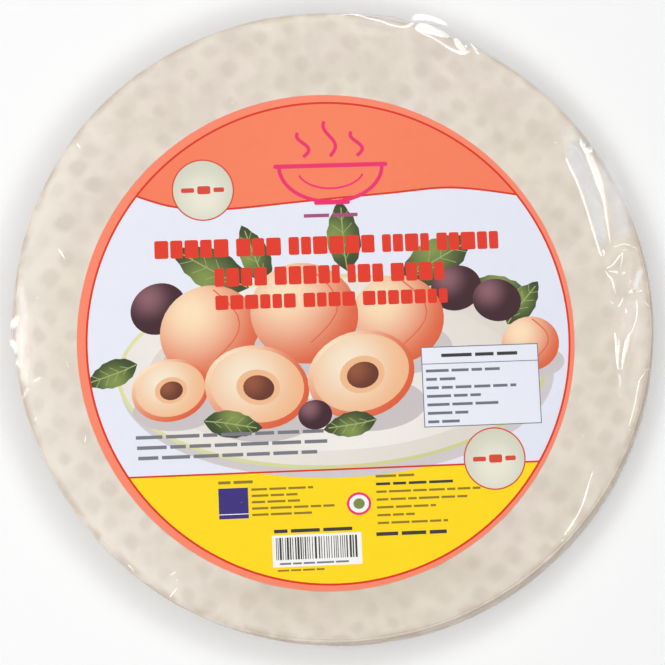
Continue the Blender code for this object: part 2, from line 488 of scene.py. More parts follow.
def pleats(heading, seed):
    """Sharp narrow pleats round the pack, from 0 to 1."""
    around = Vector((math.cos(heading), math.sin(heading), seed))
    ridge = 1 - abs(noise.noise(around * 9)) * 5
    fine = 1 - abs(noise.noise(around * 23)) * 6
    return clamp(0.65 * max(0, ridge) ** 2 + 0.35 * max(0, fine) ** 2)


def ear_reach(heading, height):
    reach = 0
    for middle, half_width, length, level in EARS:
        upright = math.exp(-(((height - level * PACK_HEIGHT) / EAR_THICKNESS) ** 2))
        reach = max(reach, length * MM * bell(heading, middle, half_width) * upright)
    return reach


def lean_at(height):
    return LEAN * (1 - height / PACK_HEIGHT)


def film_rings():
    """The film's section from the middle of the top to the middle of the foot: radius, height, part."""
    inner = [radius * MM for radius in range(9, 100, 9)]
    outer = list(np.arange(101.0 * MM, RIM_RADIUS - RIM_CORNER - 0.5 * MM, FILM_RING_STEP))
    rings = [(radius, None, "top") for radius in inner + outer]
    corner_z = top_height(RIM_CORNER) - RIM_CORNER
    for i in range(9):
        turn = math.radians(90 - 90 * i / 8)
        out = RIM_RADIUS - RIM_CORNER + RIM_CORNER * math.cos(turn)
        rings.append((out, corner_z + RIM_CORNER * math.sin(turn), "wall"))
    for i in range(1, 9):
        share = i / 9
        rings.append((RIM_RADIUS, corner_z + (FOOT_CORNER - corner_z) * share, "wall"))
    for i in range(7):
        turn = math.radians(-90 * i / 6)
        out = RIM_RADIUS - FOOT_CORNER + FOOT_CORNER * math.cos(turn)
        rings.append((out, FOOT_CORNER + FOOT_CORNER * math.sin(turn), "wall" if i < 6 else "foot"))
    pleated_from = RIM_RADIUS - FOOT_CORNER - FOOT_RING_STEP
    for radius in np.arange(pleated_from, FOOT_FLAT_RADIUS, -FOOT_RING_STEP):
        rings.append((radius, 0.0, "foot"))
    for radius in np.arange(56 * MM, 8 * MM, -6 * MM):
        rings.append((radius, 0.0, "foot"))
    return rings


def film_foot(x, y):
    """Height of the film under the foot sheet, which is pleated towards the rim."""
    radius = math.hypot(x, y)
    heading = math.atan2(y, x) + 0.25 * math.sin(radius / (20 * MM))
    gather = pleats(heading, 4.0) * smooth((radius - FOOT_FLAT_RADIUS) / (55 * MM))
    ripple = 0.5 + 0.5 * noise.noise(Vector((x * 90, y * 90, 21)))
    return FOOT_GAP + FOOT_PLEAT * gather + FOOT_RIPPLE * ripple


def film_vertex(radius, height, part, heading):
    """Where a point of the film's section runs at a heading, in the pack's own frame."""
    direction = Vector((math.cos(heading), math.sin(heading), 0))
    level = PACK_HEIGHT if part == "top" else height
    reach = (out_of_round(heading) + ear_reach(heading, level)) * (radius / RIM_RADIUS) ** 4
    plan = direction * (radius + reach)
    if part == "top":
        return Vector((plan.x, plan.y, film_top(plan.x, plan.y)))
    if part == "foot":
        return Vector((plan.x, plan.y, film_foot(plan.x, plan.y))) + lean_at(0)
    corner_z = top_height(RIM_CORNER) - RIM_CORNER
    over_corner = clamp((height - corner_z) / RIM_CORNER)
    lift = pocket_lift(plan.x, plan.y) if height > PACK_HEIGHT / 2 else 0
    tuck = -FILM_TUCK * pleats(heading, 1.0) * smooth(1.2 - over_corner)
    plan += direction * (lift * (1 - over_corner) + tuck * (1 - over_corner * 0.6))
    rise = (lift + FILM_OVER_SHEETS) * over_corner
    return Vector((plan.x, plan.y, height + rise)) + lean_at(height)


def make_film(material):
    """The clear film as one closed skin round the pack."""
    rings = film_rings()
    points = [Vector((0, 0, film_top(0, 0)))]
    for radius, height, part in rings:
        for i in range(FILM_STEPS_ROUND):
            heading = math.tau * i / FILM_STEPS_ROUND
            points.append(film_vertex(radius, height, part, heading))
    points.append(Vector((0, 0, film_foot(0, 0))) + lean_at(0))
    last = len(points) - 1
    faces = []
    for i in range(FILM_STEPS_ROUND):
        after = (i + 1) % FILM_STEPS_ROUND
        faces.append((0, 1 + i, 1 + after))
        base = 1 + (len(rings) - 1) * FILM_STEPS_ROUND
        faces.append((base + after, base + i, last))
    for ring in range(len(rings) - 1):
        upper = 1 + ring * FILM_STEPS_ROUND
        lower = upper + FILM_STEPS_ROUND
        for i in range(FILM_STEPS_ROUND):
            after = (i + 1) % FILM_STEPS_ROUND
            faces.append((upper + i, lower + i, lower + after, upper + after))
    mesh = bpy.data.meshes.new("film")
    mesh.from_pydata([point + TOP_MIDDLE for point in points], [], faces)
    mesh.materials.append(material)
    mesh.shade_smooth()
    return linked("film", mesh)


# Sharp folds in the film: points in millimetres from the top sheet's middle, with the fold's width
FOLDS = (
    ((103.9, 74.8, 0.6), (105.8, 70.2, 0.9), (108.6, 64.3, 0.9), (111, 57.5, 1.0), (113.2, 50.5, 0.9),
     (115, 44.2, 0.9), (117.2, 36.8, 0.9), (118.8, 31.5, 0.9), (119.6, 30, 0.4)),
    ((113.2, 77.5, 1.2), (114.8, 74, 2.8), (117.8, 66, 3.0), (119.8, 59.5, 2.1), (121, 54, 1.4),
     (122.1, 46, 1.1), (123, 40, 0.8), (123.4, 36, 0.3)),
    ((119.6, 31.8, 0.4), (120, 33.3, 0.7), (120.7, 31.8, 0.6), (120.4, 29.8, 0.4)),
    ((98.7, 81.6, 0.5), (99.8, 81.7, 0.4)),
    ((110.4, 83.2, 0.6), (111, 81, 1.5), (112, 79, 1.8), (113.2, 77, 1.6)),
    ((111.4, 78.8, 0.4), (112.5, 77.6, 0.8), (113.4, 77, 0.4)),
    ((112, 79.6, 0.3), (112.8, 80.9, 0.6)),
    ((113.6, 81.2, 0.8), (114.2, 79, 3.2), (114.5, 77, 2.8)),
    ((114.6, 77.7, 0.9), (116, 78.2, 1.1), (116.6, 78.6, 0.4)),
    ((124.8, 34, 0.2), (127, 35, 0.4), (129.5, 35.5, 0.5), (132, 35, 0.4), (135.4, 33.7, 0.2)),
    ((121.2, 24.4, 0.5), (124.3, 26.2, 0.8), (126.3, 28.8, 0.9), (128.8, 31.4, 0.6)),
    ((128.6, 30.5, 0.5), (128.2, 27.5, 0.6), (127.4, 24.5, 0.2)),
    ((122.2, 23.2, 0.4), (124.6, 23, 0.7), (126.2, 22.6, 1.2)),
    ((128.2, 22.1, 0.6), (129.6, 22.7, 0.9)),
    ((120.9, 23.3, 0.4), (122.5, 21, 0.8), (124, 18.8, 0.8), (124.6, 16, 0.7), (125.3, 13.2, 0.2)),
    ((131.6, 17.4, 0.2), (132.4, 19, 0.4)),
    ((131.4, 13.6, 0.5), (132.6, 14.2, 1.5), (133.4, 14.4, 1.7), (134.5, 14.1, 0.4)),
    ((135.5, 14.2, 0.3), (137.6, 14.8, 0.6)),
    ((126.9, 7.4, 0.6), (127.9, 9.2, 0.8), (128.8, 11.4, 0.2)),
    ((123, 9.7, 0.2), (124.6, 8.6, 0.4)),
    ((129.8, 6.3, 0.4), (130, 4.6, 0.8)),
    ((134.9, 10.5, 0.3), (135, 6, 0.7), (134.2, 1, 0.7), (132.6, -3.2, 0.6), (130.4, -6.5, 1.2)),
    ((130.6, -6.3, 1.2), (129.7, -9.5, 2.3), (128.8, -13.5, 1.8), (127.9, -17.5, 1.0), (127.6, -20.5, 0.7)),
    ((124.8, -4.5, 0.8), (125.2, -9, 1.1), (125.5, -13.5, 1.6), (125.8, -20.5, 0.8)),
    ((125.5, -20.8, 0.4), (128, -20.5, 0.4)),
    ((138.7, 9.7, 0.3), (141, 7.5, 0.4)),
    ((137.4, -21, 0.3), (140.5, -20.7, 0.4)),
    ((138.5, -22, 0.4), (135.8, -25.5, 0.6), (134.6, -30, 0.7), (133, -37.5, 0.7), (130.5, -46, 0.6)),
    ((129.5, -47.5, 0.3), (131.2, -47.7, 0.4)),
    ((114, -66, 0.2), (112.5, -70, 0.5), (109, -81, 0.7), (105.5, -87.5, 0.8), (101, -94, 0.7)),
    ((99.5, -97, 0.4), (100.5, -96, 0.6)),
    ((-122, 30.9, 0.6), (-121, 29.2, 0.8), (-119.3, 26.5, 0.3)),
    ((-114.5, 78, 0.7), (-113.4, 76, 0.3)),
    ((-109.3, -54, 0.5), (-109, -51, 0.3)),
    ((-90, -106.8, 0.5), (-87.4, -109.4, 0.3)),
    ((-71.8, -120.5, 0.7), (-68.8, -116.7, 0.4)),
    ((-71.5, -111.3, 0.6), (-69.5, -109.8, 0.3)),
    ((2, 138.4, 0.3), (6, 138.9, 0.5), (10.5, 138.5, 0.7), (14.5, 137.2, 0.7), (20, 136, 0.7),
     (25, 134.2, 0.8), (30, 133.6, 0.8), (33, 134.2, 1.4), (35, 135.6, 1.2)),
    ((35.6, 134.6, 1.4), (36.8, 133.9, 3.2), (40, 133.3, 4.2), (44, 132, 3.6), (48, 130.6, 2.8),
     (51, 129.2, 1.2)),
    ((36.8, 132.3, 0.8), (41, 130.3, 1.0), (45.5, 128, 0.9), (50, 125.2, 0.9), (54, 123, 1.3),
     (57.5, 122, 2.0), (60.5, 122.9, 1.0)),
    ((53.6, 128.6, 1.4), (54.8, 127, 2.6), (56.5, 124.6, 2.8), (58.5, 123.2, 1.4)),
    ((58.6, 125.9, 0.8), (59.4, 124.9, 1.0)),
    ((61.3, 126.5, 0.6), (63, 124.4, 1.0), (64.7, 121.7, 0.4)),
)

# Soft glints, laid out like the folds
GLINTS = (
    ((-134.2, -30, 1.4), (-135.2, -32.5, 2.2), (-136.6, -35.4, 1.2)),
    ((-132.6, -28.2, 1.2), (-130.6, -27, 2.2), (-128.7, -25.4, 1.8)),
    ((-127, -37, 0.8), (-126, -38.6, 1.2)),
    ((-132, -45, 0.8), (-130, -43.3, 1.4)),
    ((-135.7, 29.2, 0.5), (-135.6, 26.5, 0.7)),
    ((130.6, 47.2, 0.7), (131.4, 45.8, 1.0)),
    ((126.6, 38, 1.0), (128, 38, 1.0)),
    ((128.5, 33, 0.6), (131, 32.6, 0.8)),
    ((126.3, -6.6, 1.2), (126.6, -9.5, 1.8), (126.4, -14, 1.4)),
    ((126, -22.5, 0.8), (126.8, -25, 1.6), (126.6, -29, 0.8)),
)

# Loose flaps of film that stand out over the rim, laid out like the folds
FLAPS = (
    ((-138.8, 1.6, 1.4), (-140.4, -1.5, 3.4), (-142, -4.4, 2.4)),
    ((-142.8, -9.4, 1.4), (-141.2, -10.8, 2.8), (-140, -13, 1.8), (-139.6, -15.5, 1.4)),
    ((-139.2, -17, 2.0), (-138.2, -19.5, 3.2), (-137, -21.4, 1.4)),
    ((34.6, 136.6, 1.2), (36.5, 138.6, 3.0), (40, 138.8, 3.2), (44, 138, 2.8), (48, 136.4, 2.2),
     (51, 135, 0.5)),
)

# Broad strips where the film lies double and hazier, the haze's cool blue-grey also a painted reflection: a
# strength, how soft the edges are, and points as above
LAPS = (
    (1.0, 2, ((102.5, 84, 5), (106.8, 78, 9), (110.2, 70, 10), (114.2, 60, 9), (117, 50, 8), (119.3, 40, 6),
              (120.4, 32, 2))),
    (0.8, 3, ((118.2, 77, 2.5), (121.6, 68, 6), (124.6, 60, 8.5), (127.4, 52, 11), (128.8, 44, 12),
              (130, 36, 9))),
    (0.4, 4, ((99, 88, 6), (105, 87, 9), (110.5, 83, 8), (114, 79, 5))),
    (0.8, 3, ((109.5, 83.5, 3), (112.6, 80.4, 6), (115, 76.5, 4))),
)

# Painted sheens on the film: pale hazy strips standing in for soft reflections, laid out like the laps
SHEENS = (
    (1.7, 3, ((134.6, 14.6, 2), (135.2, 18.5, 3), (136.8, 22.5, 4), (138.2, 25.4, 2))),
    (0.9, 4, ((-138.8, 20, 3), (-137.4, 5, 7), (-137, -8, 9), (-136, -19, 8), (-134.2, -31, 4))),
    (1.2, 4, ((-139, -4, 3), (-138, -11, 6), (-137.6, -20, 4))),
    (0.5, 4, ((8, 137.5, 3), (20, 136, 6), (31, 134.5, 4))),
    (0.4, 4, ((5, 133, 3), (16, 131, 8), (26, 130, 4))),
    (0.35, 4, ((126, -20, 3), (127, -27, 6), (126.4, -35, 3))),
    (0.6, 4, ((134, 9, 4), (131.4, 3, 10), (128.5, -4.5, 8))),
    (0.3, 4, ((131, -40, 4), (134.5, -20, 8), (136, 0, 9), (135, 22, 8))),
    (0.6, 3, ((120.5, 77, 2), (124.6, 68, 5), (127.8, 60, 6), (130.4, 52, 6), (132, 44, 5))),
)

# Steps along and across the strips, and how steeply a ridge's feet may fall
FOLD_STEP = 0.7
FOLD_FALL = 0.05
FLAP_STEPS = 3
LAP_STEPS = 4

# Scattered glints on top, and the gathers and the seam under the pack
SPARKLES = 44
SPARKLES_FROM = 100
SPARKLES_TO = 137
GATHERS = 110
GATHERS_FROM = 138
GATHER_ENDS = (122, 105, 80)
SEAM_LINES = ((0, 0.5), (1.3, 0.5), (2.6, 0.5), (11, 0.9))
SEAM_PATH = ((-128, 2), (-60, -0.6), (0, 0.5), (60, -0.8), (128, 1))


def smooth_path(points, step):
    """Points every step along a smooth curve through given ones."""
    ends = [2 * Vector(points[0]) - Vector(points[1]), 2 * Vector(points[-1]) - Vector(points[-2])]
    guide = [ends[0], *map(Vector, points), ends[1]]
    path = []
    for i in range(1, len(guide) - 2):
        before, start, stop, after = guide[i - 1 : i + 3]
        parts = max(2, round((stop - start).xy.length / step))
        for j in range(parts):
            t = j / parts
            bend = 2 * start + (stop - before) * t
            bend += (2 * before - 5 * start + 4 * stop - after) * t**2
            bend += (3 * start - before - 3 * stop + after) * t**3
            path.append(bend / 2)
    path.append(guide[-2])
    return path


def glint_slope(here, side):
    """The slope of film, falling towards a side, that mirrors the ring of softboxes into the camera."""
    beyond = (here - EYE_PLACE.xy).dot(side) / CAMERA_DISTANCE
    return math.tan((SOFTBOX_SLANT - math.atan(beyond)) / 2)


def path_frames(points):
    """Places along a path, each with the way to its left and half the width there, in metres."""
    path = smooth_path(points, FOLD_STEP)
    frames = []
    for i, here in enumerate(path):
        ahead = path[min(i + 1, len(path) - 1)] - path[max(i - 1, 0)]
        side = Vector((-ahead.y, ahead.x)).normalized()
        frames.append((here.xy * MM, side, max(here.z, 0.1) * MM / 2))
    return frames


def faded(frames, strength, ends):
    """How much film each place along a strip shows, fading out over some places at its ends."""
    last = len(frames) - 1
    return [strength * smooth((min(i, last - i) + 1) / (ends + 1)) for i in range(last + 1)]


def fold_rows(points, strength=1.0, soft=False):
    """A sharp ridge that never rises or falls steeply, and whose two sides both catch the light."""
    frames = path_frames(points)
    feet = []
    for here, side, half in frames:
        feet.append(max(over_top(*spot) for spot in (here, here - side * half, here + side * half)))
    for order, step in ((range(1, len(feet)), -1), (range(len(feet) - 2, -1, -1), 1)):
        for i in order:
            feet[i] = max(feet[i], feet[i + step] - FOLD_FALL * FOLD_STEP * MM)
    rows = []
    for (here, side, half), foot, cover in zip(frames, feet, faded(frames, strength, 2 if soft else 0)):
        left, right = glint_slope(here, side), glint_slope(here, -side)
        crest = 2 * half / (1 / left + 1 / right)
        low, high = here - side * half, here + side * half
        top = Vector((*(low + side * crest / right), foot + crest))
        low, high = Vector((*low, foot)), Vector((*high, foot))
        middle, edge = (0.6 * cover, 0) if soft else (cover, cover)
        up, down = ((low + top) / 2, middle), ((high + top) / 2, middle)
        rows.append([(low, edge), up, (top, cover), down, (high, edge)])
    return rows


def flap_rows(points):
    """A loose flap that falls away from the pack and catches the light."""
    frames = path_frames(points)
    rows = []
    for (here, side, half), cover in zip(frames, faded(frames, 1.0, 3)):
        outward = here.normalized()
        slope = glint_slope(here, outward)
        level = over_top(*(outward * (RIM_RADIUS - RIM_CORNER)))
        row = []
        for j in range(-FLAP_STEPS, FLAP_STEPS + 1):
            spot = here + side * half * j / FLAP_STEPS
            height = level - slope * (spot.dot(outward) - RIM_RADIUS + RIM_CORNER)
            row.append((Vector((*spot, height)), cover * smooth((FLAP_STEPS + 1 - abs(j)) / 2)))
        rows.append(row)
    return rows


def lap_rows(strength, softness, points):
    """A flat strip that lies on the film and fades out at its edges."""
    frames = path_frames(points)
    rows = []
    for (here, side, half), cover in zip(frames, faded(frames, strength, min(12, len(frames) // 4))):
        row = []
        for j in range(-LAP_STEPS, LAP_STEPS + 1):
            spot = here + side * half * j / LAP_STEPS
            inward = LAP_STEPS - abs(j)
            height = over_top(*spot) + STRIP_GAP * inward
            row.append((Vector((*spot, height)), cover * smooth(inward / softness)))
        rows.append(row)
    return rows


def foot_rows(points, strength):
    """A low pleat under the pack, thin at its ends."""
    frames = path_frames(points)
    rows = []
    for (here, side, half), cover in zip(frames, faded(frames, strength, 8)):
        row = []
        for j in (-2, -1, 0, 1, 2):
            spot = here + side * half * j / 2
            point = Vector((*spot, film_foot(*spot) + (0.15 - 0.06 * abs(j)) * MM))
            row.append((point + lean_at(0), cover * (1 - 0.45 * abs(j))))
        rows.append(row)
    return rows


def strip_mesh(name, strips, material):
    """One mesh of many strips, each a list of rows of points with how much film shows at each."""
    points = []
    covers = []
    faces = []
    for rows in strips:
        wide = len(rows[0])
        for i in range(len(rows) - 1):
            for j in range(wide - 1):
                corner = len(points) + i * wide + j
                faces.append((corner, corner + 1, corner + wide + 1, corner + wide))
        for row in rows:
            for point, cover in row:
                points.append(point + TOP_MIDDLE)
                covers.append(cover)
    mesh = bpy.data.meshes.new(name)
    mesh.from_pydata(points, [], faces)
    mesh.materials.append(material)
    mesh.attributes.new("cover", "FLOAT", "POINT").data.foreach_set("value", covers)
    return linked(name, mesh)


def over_top(x, y):
    """A height just over the film, level beyond the flat of the rim."""
    limit = RIM_RADIUS - RIM_CORNER + out_of_round(math.atan2(y, x))
    shrink = min(1.0, limit / math.hypot(x, y))
    return film_top(x * shrink, y * shrink) + STRIP_GAP


def small_sparkles(rng):
    """Short faint folds scattered over the film between the card and the rim."""
    folds = []
    while len(folds) < SPARKLES:
        radius = rng.uniform(SPARKLES_FROM, SPARKLES_TO)
        heading = rng.uniform(0, math.tau)
        start = Vector((radius * math.cos(heading), radius * math.sin(heading)))
        if (start * MM - CARD_PLACE.xy).length < CARD_RADIUS + 3 * MM:
            continue
        turn = heading + rng.choice((0.3, 1.2, 1.57, 2.0)) + rng.uniform(-0.3, 0.3)
        stop = start + Vector((math.cos(turn), math.sin(turn))) * rng.uniform(0.8, 3.0)
        if stop.length < SPARKLES_TO:
            folds.append(((start.x, start.y, rng.uniform(0.15, 0.4)), (stop.x, stop.y, 0.1)))
    return folds


def make_folds(material):
    """The sharp folds and soft glints on top, as thin ridges of doubled film, and the loose flaps."""
    rng = random.Random(28)
    strips = [fold_rows(fold) for fold in FOLDS]
    strips += [fold_rows(glint, 0.6, True) for glint in GLINTS]
    strips += [fold_rows(spark, rng.uniform(0.15, 0.7)) for spark in small_sparkles(rng)]
    strips += [flap_rows(flap) for flap in FLAPS]
    return strip_mesh("film_folds", strips, material)


def make_laps(name, laps, material):
    """Broad strips where the film lies double, its haze also a painted reflection, or where a painted sheen
    shines softly.
    """
    return strip_mesh(name, [lap_rows(*lap) for lap in laps], material)


def foot_gathers(rng):
    """Tapered pleats of film that run in from the rim under the pack."""
    folds = []
    for i in range(GATHERS):
        heading = math.tau * (i + rng.uniform(-0.4, 0.4)) / GATHERS
        inner = rng.choice(GATHER_ENDS) + rng.uniform(-14, 10)
        bend = rng.uniform(-0.12, 0.12)
        width = rng.uniform(0.8, 2.8)
        points = []
        for share in (0, 0.3, 0.65, 1):
            radius = GATHERS_FROM + (inner - GATHERS_FROM) * share
            turn = heading + bend * share
            points.append((radius * math.cos(turn), radius * math.sin(turn), width * (1.1 - share)))
        folds.append(tuple(points))
    return folds


def make_foot_folds(material):
    """The gathers under the pack and the welded seam that closes the film there."""
    rng = random.Random(5)
    strips = [foot_rows(fold, rng.uniform(0.25, 0.9)) for fold in foot_gathers(rng)]
    for offset, width in SEAM_LINES:
        strips.append(foot_rows([(x, offset + sway, width) for x, sway in SEAM_PATH], 0.9))
    return strip_mesh("film_foot_folds", strips, material)


# Print

PRINT_TURN = math.radians(2.4)
RING_PLACE = (1.0, -0.4)
RING_LINE = 107.2
RING_INSIDE = 106.3
FIELD_FLOOR = -57.3
PAST_EDGE = 118
WAVE_STEP = 2.0
CARD_SIDES = 160
CUT_TOLERANCE = 0.0005
EDGE_TOLERANCE = 0.01

INKS = {
    "ring_coral": ((251, 138, 107), (249, 127, 97)),
    "line_red": ((226, 50, 12), (212, 40, 8)),
    "top_coral": ((248, 134, 95), (245, 124, 89)),
    "lilac_white": ((231, 233, 244), (226, 229, 242)),
    "yellow": ((255, 224, 0), (254, 217, 0)),
    "badge": ((235, 231, 214), (211, 212, 194)),
    "badge_red": ((220, 76, 52), (206, 62, 42)),
    "emblem": ((242, 46, 112), (228, 38, 104)),
    "small_pink": ((178, 84, 132), (160, 66, 116)),
    "title_red": ((236, 62, 34), (216, 44, 24)),
    "small_grey": ((128, 128, 136), (114, 114, 122)),
    "small_brown": ((156, 128, 34), (138, 112, 30)),
    "panel": ((235, 237, 247), (231, 233, 244)),
    "panel_line": ((118, 122, 134), (104, 108, 118)),
    "violet": ((62, 46, 132), (52, 38, 116)),
    "paper": ((250, 249, 245), (244, 242, 238)),
    "dish": ((240, 236, 230), (222, 214, 204)),
    "dish_rim": ((226, 226, 172), (206, 208, 140)),
    "dish_shade": ((214, 208, 210), (190, 180, 178)),
    "fruit": ((252, 226, 190), (222, 96, 56)),
    "flesh": ((246, 232, 208), (240, 184, 138)),
    "stone": ((150, 84, 54), (104, 50, 34)),
    "plum": ((142, 96, 106), (62, 30, 40)),
    "leaf": ((134, 152, 78), (56, 74, 38)),
    "vein": ((170, 184, 116), (150, 166, 98)),
    "dark": ((62, 58, 62), (50, 46, 52)),
}


def turned(x, y, along, across, turn):
    """A point some way along and across from another, with the ways turned."""
    cosine, sine = math.cos(turn), math.sin(turn)
    return x + along * cosine - across * sine, y + along * sine + across * cosine


def ellipse(x, y, half_width, half_height, turn, sides):
    points = []
    for i in range(sides):
        angle = math.tau * i / sides
        points.append(turned(x, y, half_width * math.cos(angle), half_height * math.sin(angle), turn))
    return points


def box(x, y, width, height):
    """A box with its left end at x and its middle at height y."""
    low, high = y - height / 2, y + height / 2
    return [(x, low), (x + width, low), (x + width, high), (x, high)]


def rounded_box(x, y, width, height, corner):
    left, right = x + corner, x + width - corner
    low, high = y - height / 2 + corner, y + height / 2 - corner
    points = []
    for quarter, middle in enumerate(((right, high), (left, high), (left, low), (right, low))):
        for i in range(4):
            points.append(turned(*middle, corner, 0, math.radians(90 * quarter + 30 * i)))
    return points


def stroke(points, width):
    """The outline of a line of a width along points."""
    left = []
    right = []
    for i, (x, y) in enumerate(points):
        ax, ay = points[max(i - 1, 0)]
        bx, by = points[min(i + 1, len(points) - 1)]
        length = math.hypot(bx - ax, by - ay)
        side_x, side_y = -(by - ay) / length * width / 2, (bx - ax) / length * width / 2
        left.append((x + side_x, y + side_y))
        right.append((x - side_x, y - side_y))
    return right + left[::-1]


class Print:
    """The card's print as flat shapes, each over the ones before it."""

    def __init__(self):
        self.shapes = []

    def lay(self, ink, outline, tone=0.5):
        """Lays one shape: a tone from 0 to 1, or a function of place, runs from light to dark ink."""
        area = sum(ax * by - bx * ay for (ax, ay), (bx, by) in zip(outline, outline[1:] + outline[:1]))
        self.shapes.append((ink, outline if area > 0 else outline[::-1], tone))

    def rounded(self, ink, x, y, half_width, half_height, turn, tone, sides=36, nested=5):
        """An ellipse whose tone changes inside it, so that it also gets nested ellipses."""
        for i in range(nested):
            share = 1 - i / nested
            corners = max(12, int(sides * share))
            self.lay(ink, ellipse(x, y, half_width * share, half_height * share, turn, corners), tone)


def light_from(x, y, reach):
    """A tone that is light at a place and dark a reach away from it."""
    return lambda px, py: smooth(math.hypot(px - x, py - y) / reach)


def lay_fields(card):
    """The coral field over its wave, the pale middle and the yellow foot, all past the card's edge."""
    far = PAST_EDGE
    card.lay("lilac_white", ellipse(0, 0, far, far, 0, 24), lambda x, y: clamp((x + 40) / 220 - y / 300))
    wave = smooth_path(((-88, 70), (-82.1, 66.4), (-65, 61), (-43.9, 59.5), (-8.4, 62), (29.3, 64.6),
                        (58.2, 66.3), (86.8, 62.4), (94, 60)), WAVE_STEP)
    wave = [tuple(point) for point in wave]
    card.lay("top_coral", wave + [(far, 60), (far, far), (-far, far), (-far, 70)],
             lambda x, y: clamp(0.2 + math.hypot(x - 4, y - 84) / 110))
    card.lay("yellow", [(-far, -far), (far, -far), (far, FIELD_FLOOR), (-far, FIELD_FLOOR)],
             lambda x, y: clamp((-FIELD_FLOOR - y) / 90 - 0.5))
    return wave


def lay_lines(card, wave):
    card.lay("line_red", stroke(wave, 0.9))
    card.lay("line_red", box(-PAST_EDGE, FIELD_FLOOR, 2 * PAST_EDGE, 0.8))


def lay_leaf(card, x, y, length, width, turn):
    """A pointed leaf with a lighter midrib and side veins."""
    def place(along, across):
        return turned(x, y, along, across, turn)

    def half(side, share=1.0):
        points = []
        for i in range(1, 12):
            t = i / 12
            bulge = (1 + 0.07 * math.cos(t * 34)) * math.sin(math.pi * t**0.85) ** 0.8
            points.append(place(length * t, side * width / 2 * share * bulge))
        return points

    shade = light_from(*place(length * 0.5, width * 0.3), width * 0.9)
    for start, stop, share in ((0, 1, 1.0), (0.04, 0.96, 0.5)):
        ends = place(length * start, 0), place(length * stop, 0)
        card.lay("leaf", [ends[0], *half(-1, share), ends[1], *half(1, share)[::-1]], shade)
    midrib = [place(length * t, 0.03 * width * math.sin(5 * t)) for t in (0.02, 0.3, 0.6, 0.9)]
    card.lay("vein", stroke(midrib, 0.5))
    for i in range(1, 5):
        t = 0.18 * i
        for side in (-1, 1):
            tip = place(length * (t + 0.13), side * width * 0.3 * math.sin(math.pi * t))
            card.lay("vein", stroke([place(length * t, 0), tip], 0.28))


def lay_fruit(card, x, y, size, turn):
    """A whole round fruit with a crease and a soft light side."""
    lit_x, lit_y = x - size * 0.35, y + size * 0.4
    card.rounded("dish_shade", x + size * 0.1, y - size * 0.62, size * 1.05, size * 0.55, 0, 0.4, 32, 1)
    card.rounded("fruit", x, y, size, size * 0.93, turn, light_from(lit_x, lit_y, size * 1.5))
    crease = []
    for i in range(9):
        t = i / 8
        bow = 0.1 + 0.55 * math.sin(math.pi * t) * math.cos(turn)
        crease.append((x + size * bow, y + size * (0.85 - 1.4 * t)))
    card.lay("fruit", stroke(crease, 0.6), 0.95)


def lay_half(card, x, y, size, turn):
    """A cut half with its rim, flesh and stone."""
    card.rounded("dish_shade", x + size * 0.1, y - size * 0.55, size * 1.08, size * 0.5, 0, 0.5, 32, 1)
    skin = light_from(x - size * 0.6, y + size * 0.6, size * 1.7)
    card.rounded("fruit", x, y, size, size * 0.8, turn, skin, 36, 2)
    flesh = light_from(x - size * 0.2, y + size * 0.2, size * 1.15)
    card.rounded("flesh", x, y + size * 0.03, size * 0.9, size * 0.7, turn, flesh)
    card.rounded("flesh", x + size * 0.02, y, size * 0.42, size * 0.34, turn, 0.95, 24, 1)
    stone = light_from(x - size * 0.1, y + size * 0.1, size * 0.4)
    card.rounded("stone", x + size * 0.03, y - size * 0.01, size * 0.3, size * 0.24, turn, stone, 20, 3)


def lay_plum(card, x, y, size, turn):
    skin = light_from(x - size * 0.4, y + size * 0.45, size * 1.1)
    card.rounded("plum", x, y, size * 1.15, size, turn, skin)


def lay_picture(card):
    """A generic still life of fruit and leaves on a pale dish."""
    card.rounded("dish_shade", 4, -17, 96, 44, 0, 0.25, 72, 1)
    card.rounded("dish_rim", 2, -14, 95, 43, 0, light_from(-60, 20, 150), 72, 1)
    card.rounded("dish", 2, -14, 93.2, 41.4, 0, light_from(-40, 5, 130), 72, 5)
    card.rounded("dish", 2, -15, 82, 34, 0, light_from(10, -40, 110), 64, 4)
    for leaf in ((34, 24, 38, 19, 0.55), (62, 20, 30, 15, -0.1), (10, 30, 32, 15, 1.65),
                 (-34, 24, 38, 18, 2.65), (-26, 26, 28, 13, 1.95), (80, 4, 24, 12, 0.9)):
        lay_leaf(card, *leaf)
    for plum in ((58, 21, 10, 0.3), (76, 15, 9.5, -0.2), (-74, 16, 11, 0.5)):
        lay_plum(card, *plum)
    for fruit in ((-52, 5, 22, 0.4), (31, 8, 21, 0.2), (-10, 12, 24, -0.3), (90, -5, 13, 0.2)):
        lay_fruit(card, *fruit)
    for half in ((-70, -20, 17, 0.2), (-32, -20, 23, -0.15), (14, -16, 24, 0.25)):
        lay_half(card, *half)
    lay_plum(card, -7, -33, 6.5, 0.1)
    for leaf in ((-84, -8, 24, 12, 3.5), (-56, -34, 26, 12, -0.15), (20, -36, 24, 11, 3.3)):
        lay_leaf(card, *leaf)


def lay_badge(card, x, y, size):
    """A round badge with three short bars."""
    card.rounded("badge_red", x, y, size, size, 0, 0.5, 48, 1)

    def shade(px, py):
        return smooth(math.hypot(px - x, py - y + 3) / size - 0.15)

    card.rounded("badge", x, y, size - 0.6, size - 0.6, 0, shade, 48, 6)
    bars = ((-0.7, 0.42, 0.15, 0.6), (-0.18, 0.42, 0.26, 0.8), (0.34, 0.34, 0.15, 0.6))
    for start, wide, tall, corner in bars:
        bar = rounded_box(x + size * start, y, size * wide, size * tall, corner)
        card.lay("badge_red", bar, 0.3)


